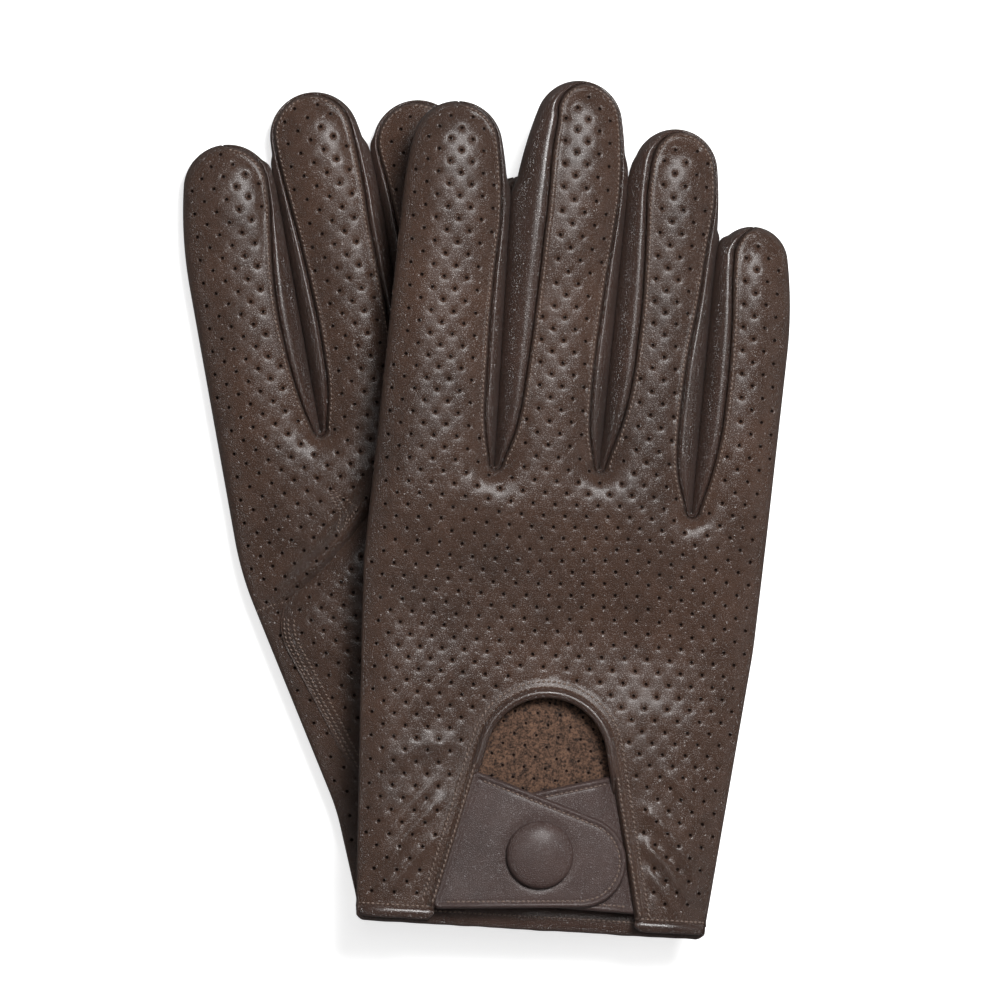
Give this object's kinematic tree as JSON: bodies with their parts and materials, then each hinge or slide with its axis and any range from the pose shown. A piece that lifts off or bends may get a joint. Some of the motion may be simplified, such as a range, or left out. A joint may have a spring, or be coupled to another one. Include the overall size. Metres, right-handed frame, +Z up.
{
  "type": "leather driving gloves",
  "caption": "Pair of perforated leather driving gloves laid one on the other, with keyhole backs, snap-closed wrist straps and bound hems.",
  "frame": {"origin": "centre of the pair's footprint, on the table that the left glove lies on", "axes": "+Z up; +Y towards the fingertips; +X towards the little-finger side of the right glove"},
  "size_m": [0.1676, 0.2342, 0.0378],
  "materials": {
    "panel_leather": "perforated pebbled nappa, semi-matte",
    "fourchette_leather": "smooth nappa, semi-matte",
    "binding_leather": "thin folded nappa, semi-matte",
    "strap_leather": "smooth nappa with turned, stitched edges",
    "lining_leather": "matte suede",
    "snap_metal": "antique, satin"
  },
  "bodies": {
    "left_glove": {"left_fourchette_index_middle": "fourchette_leather", "left_fourchette_middle_ring": "fourchette_leather", "left_fourchette_ring_little": "fourchette_leather", "left_back": "panel_leather", "left_palm": "panel_leather", "left_thumb_front": "panel_leather", "left_thumb_back": "panel_leather", "left_keyhole_binding": "binding_leather", "left_back_hem_binding": "binding_leather", "left_palm_hem_binding": "binding_leather", "left_underlap": "strap_leather", "left_snap_stud": "snap_metal", "left_snap_post": "snap_metal"},
    "left_strap": {"left_strap": "strap_leather", "left_strap_lining": "lining_leather", "left_snap_cap": "snap_metal", "left_cap_cover": "strap_leather", "left_snap_socket": "snap_metal"},
    "right_hand": {"right_thumb_front": "panel_leather", "right_thumb_back": "panel_leather", "right_keyhole_binding": "binding_leather", "right_back_hem_binding": "binding_leather", "right_palm_hem_binding": "binding_leather", "right_underlap": "strap_leather", "right_snap_stud": "snap_metal", "right_snap_post": "snap_metal", "right_back_hand": "panel_leather", "right_palm_hand": "panel_leather"},
    "right_fingers": {"right_back_fingers": "panel_leather", "right_palm_fingers": "panel_leather", "right_fourchette_index_middle": "fourchette_leather", "right_fourchette_middle_ring": "fourchette_leather", "right_fourchette_ring_little": "fourchette_leather"},
    "right_strap": {"right_strap": "strap_leather", "right_strap_lining": "lining_leather", "right_snap_cap": "snap_metal", "right_cap_cover": "strap_leather", "right_snap_socket": "snap_metal"}
  },
  "joints": [
    {"name": "right_glove_lift", "type": "slide", "parent": "left_glove", "child": "right_hand", "axis": [0, 0, 1], "range_m": [0, 0.12]},
    {"name": "right_knuckle_fold", "type": "hinge", "parent": "right_hand", "child": "right_fingers", "pos_m": [0.02605, -0.00827, 0.03232], "axis": [0.9927, -0.06, -0.1045], "range_deg": [0, 45]},
    {"name": "right_strap_open", "type": "hinge", "parent": "right_hand", "child": "right_strap", "pos_m": [-0.0077, -0.09065, 0.03556], "axis": [-0.2905, -0.9555, 0.0501], "range_deg": [0, 150]},
    {"name": "left_strap_open", "type": "hinge", "parent": "left_glove", "child": "left_strap", "pos_m": [-0.01879, -0.08157, 0.002], "axis": [0.064, 0.9979, 0], "range_deg": [0, 150]}
  ]
}
